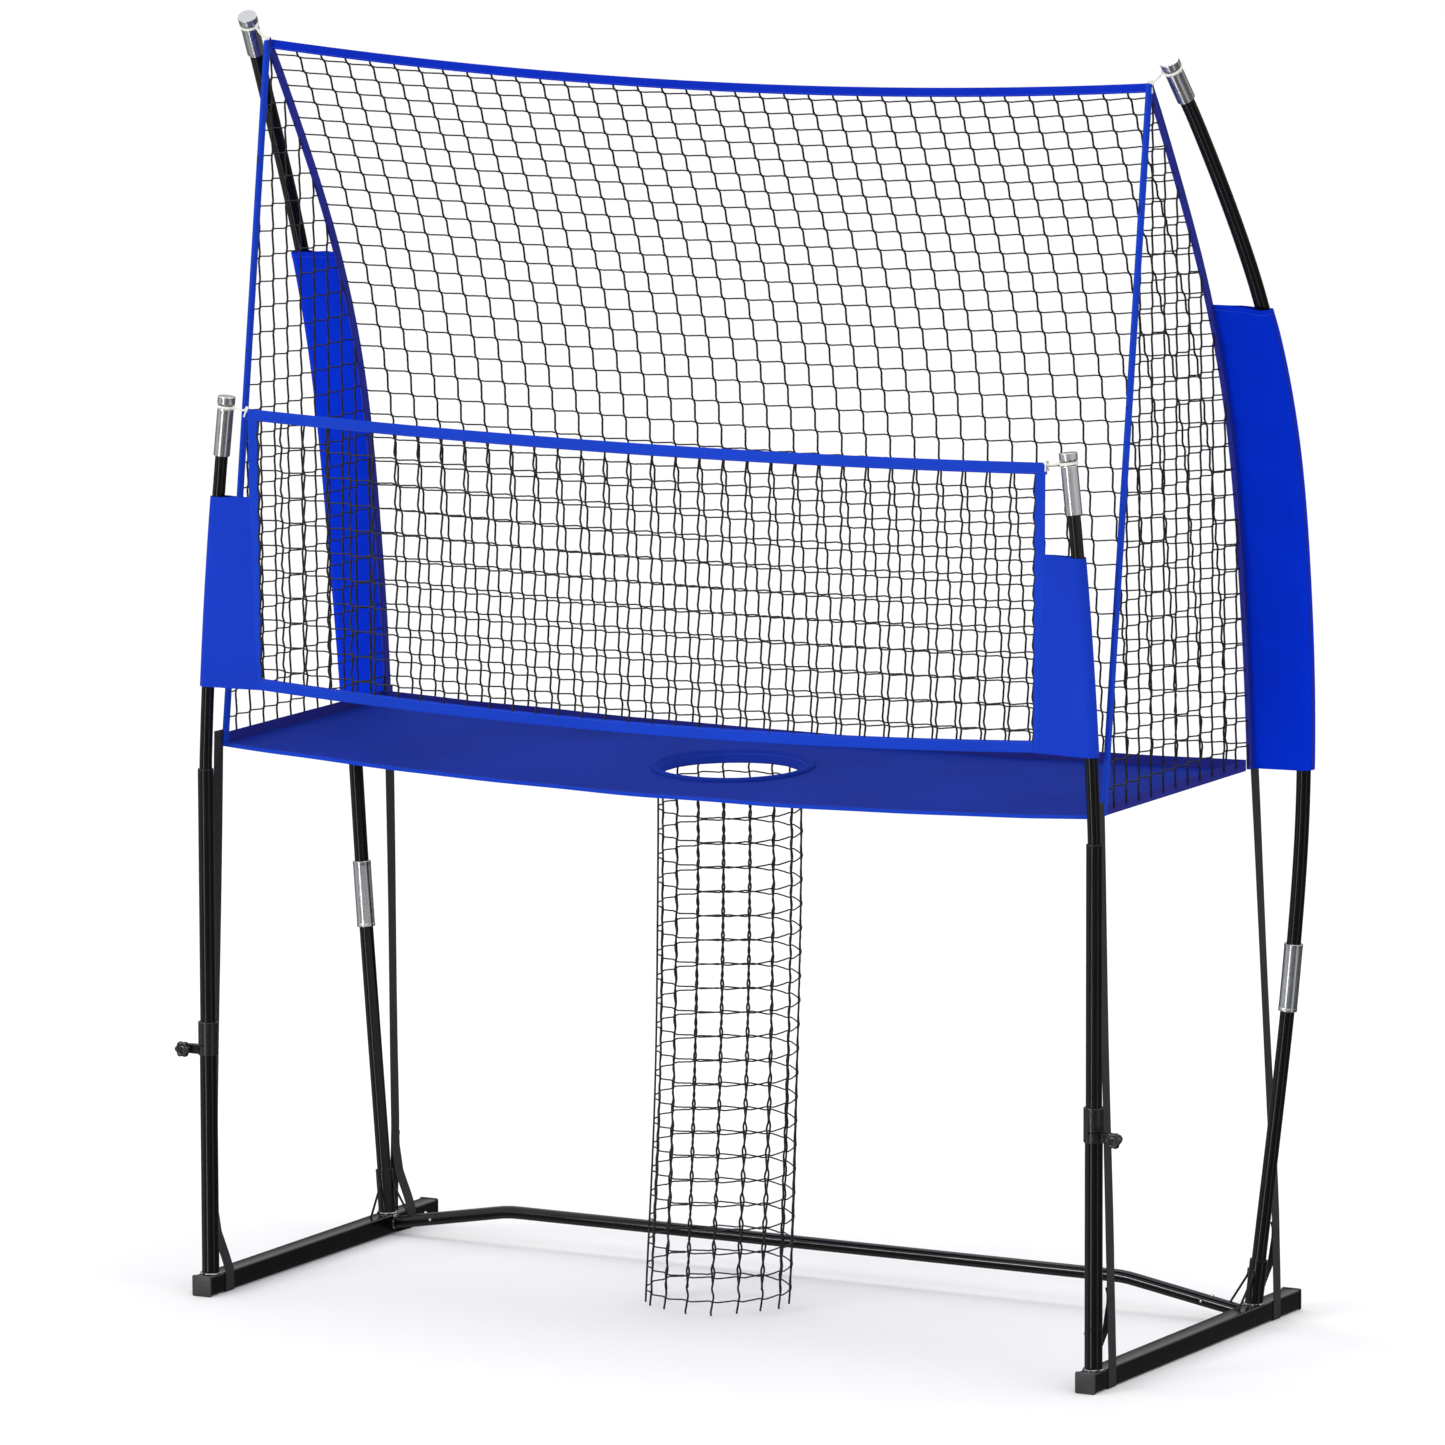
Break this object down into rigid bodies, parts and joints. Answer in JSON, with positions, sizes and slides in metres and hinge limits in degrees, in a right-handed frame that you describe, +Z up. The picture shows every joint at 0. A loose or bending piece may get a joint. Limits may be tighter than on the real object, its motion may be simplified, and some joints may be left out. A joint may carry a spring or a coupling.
{
  "type": "volleyball practice net",
  "caption": "Free-standing ball-catching net: open front over a flat net on telescoping masts, a bowed back net, a fabric tray with a chute to the ground, and a low tubular base",
  "frame": {"origin": "centre of the footprint, on the ground", "axes": "+X to the right along the net, +Y from the open front to the back, +Z up"},
  "size_m": [2.8096, 1.15, 3.227],
  "materials": {
    "black_steel": "satin black powder coat",
    "black_plastic": "moulded black plastic, fine matt texture",
    "bright_steel": "polished bright plated steel",
    "button_steel": "bright zinc",
    "net_cord": "knotted black polyester twine",
    "blue_fabric": "royal blue woven polyester",
    "black_webbing": "woven black webbing",
    "white_cord": "braided white cord"
  },
  "bodies": {
    "stand": {"left_base_bar": "black_steel", "left_front_socket": "black_steel", "left_outer_tube": "black_steel", "left_crossbar": "black_steel", "left_rear_socket": "black_steel", "left_crossbar_stub": "black_steel", "left_rear_lower_pole": "black_steel", "left_rear_upper_pole": "black_steel", "left_front_cap": "black_plastic", "left_rear_cap": "black_plastic", "left_clamp_collar": "black_plastic", "left_rear_tip": "bright_steel", "left_pole_ferrule": "bright_steel", "left_side_net": "net_cord", "left_sail": "blue_fabric", "left_front_strap": "black_webbing", "left_rear_strap": "black_webbing", "left_rear_tie": "white_cord", "right_base_bar": "black_steel", "right_front_socket": "black_steel", "right_outer_tube": "black_steel", "right_crossbar": "black_steel", "right_rear_socket": "black_steel", "right_crossbar_stub": "black_steel", "right_rear_lower_pole": "black_steel", "right_rear_upper_pole": "black_steel", "right_front_cap": "black_plastic", "right_rear_cap": "black_plastic", "right_clamp_collar": "black_plastic", "right_rear_tip": "bright_steel", "right_pole_ferrule": "bright_steel", "right_side_net": "net_cord", "right_sail": "blue_fabric", "right_front_strap": "black_webbing", "right_rear_strap": "black_webbing", "right_rear_tie": "white_cord", "back_net_lower": "net_cord", "back_net_middle": "net_cord", "back_net_upper": "net_cord", "chute": "net_cord", "tray": "blue_fabric"},
    "left_mast": {"left_slide_tube": "black_steel", "left_front_pole": "black_steel", "left_front_tip": "bright_steel", "left_front_tie": "white_cord", "left_pocket": "blue_fabric", "front_net": "net_cord"},
    "left_knob": {"left_clamp_knob": "black_plastic"},
    "left_socket_button_body": {"left_socket_button": "button_steel"},
    "left_crossbar_top_button_body": {"left_crossbar_top_button": "button_steel"},
    "left_crossbar_side_button_body": {"left_crossbar_side_button": "button_steel"},
    "right_mast": {"right_slide_tube": "black_steel", "right_front_pole": "black_steel", "right_front_tip": "bright_steel", "right_front_tie": "white_cord", "right_pocket": "blue_fabric"},
    "right_knob": {"right_clamp_knob": "black_plastic"},
    "right_socket_button_body": {"right_socket_button": "button_steel"},
    "right_crossbar_top_button_body": {"right_crossbar_top_button": "button_steel"},
    "right_crossbar_side_button_body": {"right_crossbar_side_button": "button_steel"}
  },
  "joints": [
    {"name": "left_mast_slide", "type": "slide", "parent": "stand", "child": "left_mast", "axis": [0, 0, 1], "range_m": [-0.3, 0.15]},
    {"name": "left_knob_turn", "type": "hinge", "parent": "stand", "child": "left_knob", "pos_m": [-1.313, -0.5378, 0.62638], "axis": [0, -1, 0], "range_deg": [-720, 90]},
    {"name": "left_socket_button_press", "type": "slide", "parent": "stand", "child": "left_socket_button_body", "axis": [0, 1, 0], "range_m": [-0.004, 0], "stiffness_N_per_m": 400, "springref_m": 0.001},
    {"name": "left_crossbar_top_button_press", "type": "slide", "parent": "stand", "child": "left_crossbar_top_button_body", "axis": [-0.1724, 0, 0.985], "range_m": [-0.004, 0], "stiffness_N_per_m": 400, "springref_m": 0.001},
    {"name": "left_crossbar_side_button_press", "type": "slide", "parent": "stand", "child": "left_crossbar_side_button_body", "axis": [0, -1, 0], "range_m": [-0.004, 0], "stiffness_N_per_m": 400, "springref_m": 0.001},
    {"name": "right_mast_slide", "type": "slide", "parent": "stand", "child": "right_mast", "axis": [0, 0, 1], "range_m": [-0.3, 0.15]},
    {"name": "right_knob_turn", "type": "hinge", "parent": "stand", "child": "right_knob", "pos_m": [1.313, -0.5378, 0.62638], "axis": [0, -1, 0], "range_deg": [-720, 90]},
    {"name": "right_socket_button_press", "type": "slide", "parent": "stand", "child": "right_socket_button_body", "axis": [-1, 0, 0], "range_m": [-0.004, 0], "stiffness_N_per_m": 400, "springref_m": 0.001},
    {"name": "right_crossbar_top_button_press", "type": "slide", "parent": "stand", "child": "right_crossbar_top_button_body", "axis": [0.1724, 0, 0.985], "range_m": [-0.004, 0], "stiffness_N_per_m": 400, "springref_m": 0.001},
    {"name": "right_crossbar_side_button_press", "type": "slide", "parent": "stand", "child": "right_crossbar_side_button_body", "axis": [0, -1, 0], "range_m": [-0.004, 0], "stiffness_N_per_m": 400, "springref_m": 0.001}
  ],
  "couplings": [
    {"joint": "right_mast_slide", "follows": "left_mast_slide", "ratio": 1}
  ]
}
